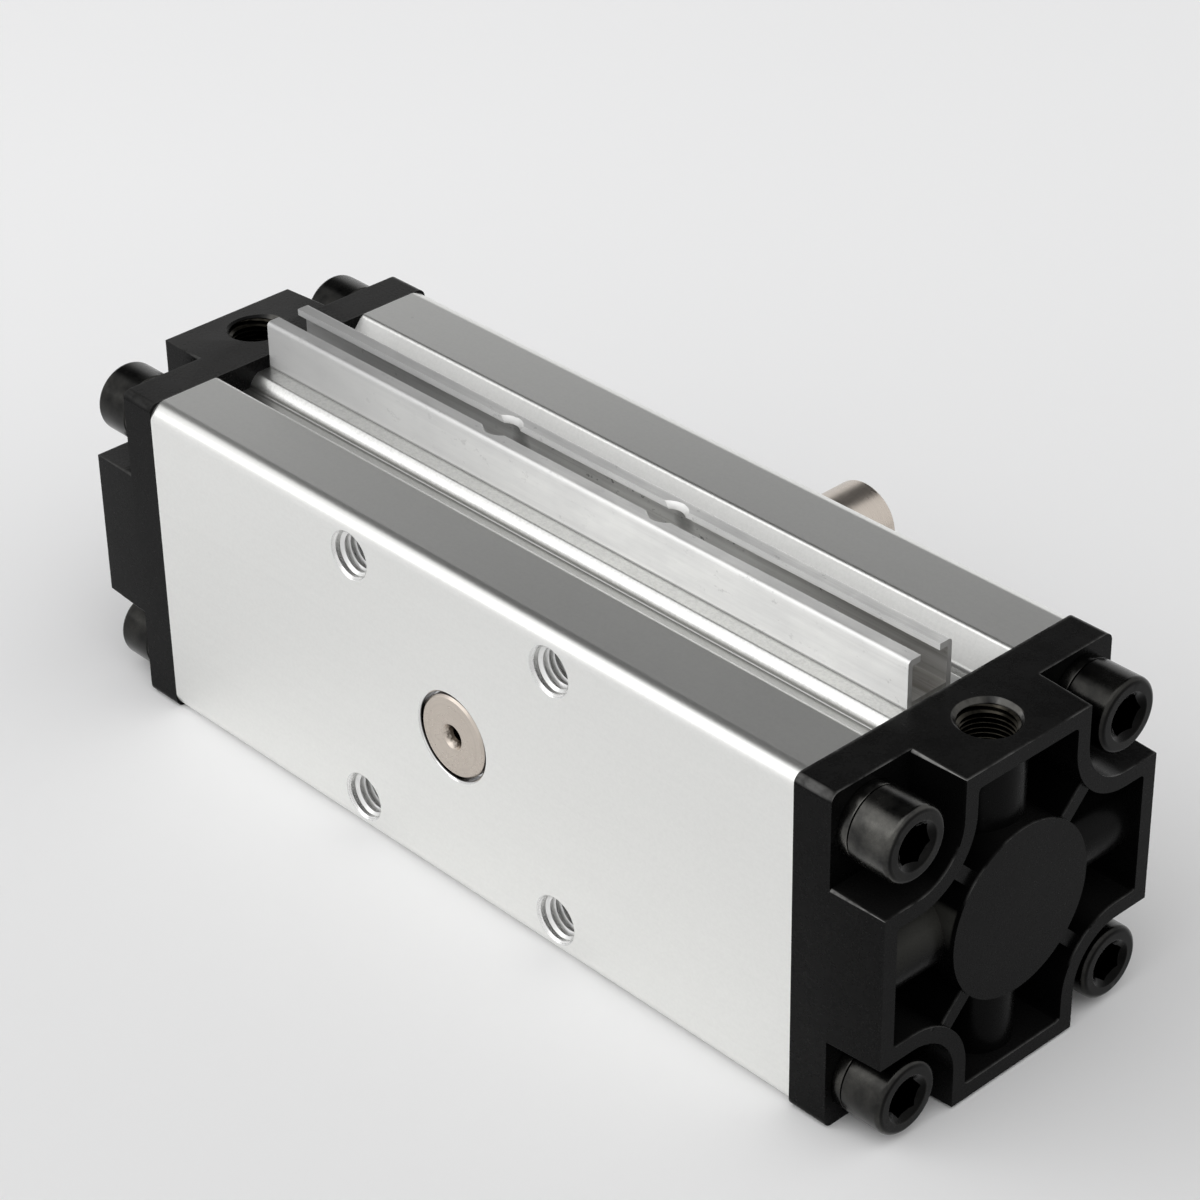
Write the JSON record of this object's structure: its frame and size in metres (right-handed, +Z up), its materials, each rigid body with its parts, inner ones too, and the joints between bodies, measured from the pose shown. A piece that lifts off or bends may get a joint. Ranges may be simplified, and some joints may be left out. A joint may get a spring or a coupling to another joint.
{
  "type": "rack and pinion rotary actuator",
  "caption": "Pneumatic rack and pinion rotary actuator: square aluminium body with black end covers, keyed output shaft, air ports and a switch rail on top.",
  "frame": {"origin": "centre of the bottom face of the body", "axes": "+X along the cylinder, +Y out along the output shaft, +Z up towards the switch rail"},
  "size_m": [0.189, 0.098, 0.0684],
  "materials": {
    "satin_aluminium": "satin anodised",
    "black_casting": "black coated die casting",
    "black_screw": "black oxide steel",
    "black_washer": "black oxide steel",
    "seal_rubber": "black nitrile",
    "rail_aluminium": "raw extruded",
    "zinc_screw": "zinc plated",
    "retainer_aluminium": "machined",
    "bearing_steel": "ground",
    "shaft_steel": "nickel plated",
    "cage_brass": "stamped",
    "rack_steel": "milled",
    "slider_resin": "moulded resin",
    "piston_aluminium": "turned",
    "magnet_grey": "sintered"
  },
  "bodies": {
    "housing": {"cylinder_body": "satin_aluminium", "end_cover_right": "black_casting", "end_cover_left": "black_casting", "cover_screws_right": "black_screw", "cover_screws_left": "black_screw", "spring_washers_right": "black_washer", "spring_washers_left": "black_washer", "cover_o_ring_right": "seal_rubber", "cover_o_ring_left": "seal_rubber", "switch_rail": "rail_aluminium", "rail_screws": "zinc_screw", "bearing_retainer": "retainer_aluminium", "retainer_screws": "zinc_screw", "shaft_seal": "seal_rubber", "output_bearing_outer_race": "bearing_steel", "tail_bearing_outer_race": "bearing_steel"},
    "shaft": {"pinion_shaft": "shaft_steel", "output_bearing_inner_race": "bearing_steel", "tail_bearing_inner_race": "bearing_steel"},
    "rack_and_pistons": {"rack": "rack_steel", "rack_slider": "slider_resin", "piston_right": "piston_aluminium", "piston_left": "piston_aluminium", "piston_seal_right": "seal_rubber", "piston_seal_left": "seal_rubber", "wear_ring_right": "slider_resin", "wear_ring_left": "slider_resin", "piston_magnet_right": "magnet_grey", "piston_magnet_left": "magnet_grey", "connecting_screws": "black_screw"},
    "output_ball_set": {"output_bearing_balls": "bearing_steel", "output_bearing_cage": "cage_brass"},
    "tail_ball_set": {"tail_bearing_balls": "bearing_steel", "tail_bearing_cage": "cage_brass"}
  },
  "joints": [
    {"name": "shaft_turn", "type": "hinge", "parent": "housing", "child": "shaft", "pos_m": [0, 0, 0.031], "axis": [0, 1, 0], "range_deg": [-90, 90]},
    {"name": "rack_slide", "type": "slide", "parent": "housing", "child": "rack_and_pistons", "axis": [1, 0, 0], "range_m": [-0.01649, 0.01649]},
    {"name": "output_balls_roll", "type": "hinge", "parent": "housing", "child": "output_ball_set", "pos_m": [0, 0.0245, 0.031], "axis": [0, 1, 0], "range_deg": [-37, 37]},
    {"name": "tail_balls_roll", "type": "hinge", "parent": "housing", "child": "tail_ball_set", "pos_m": [0, -0.026, 0.031], "axis": [0, 1, 0], "range_deg": [-37, 37]}
  ],
  "couplings": [
    {"joint": "shaft_turn", "follows": "rack_slide", "rad_per_m": -95.238},
    {"joint": "output_balls_roll", "follows": "rack_slide", "rad_per_m": -38.76},
    {"joint": "tail_balls_roll", "follows": "rack_slide", "rad_per_m": -38.76}
  ]
}
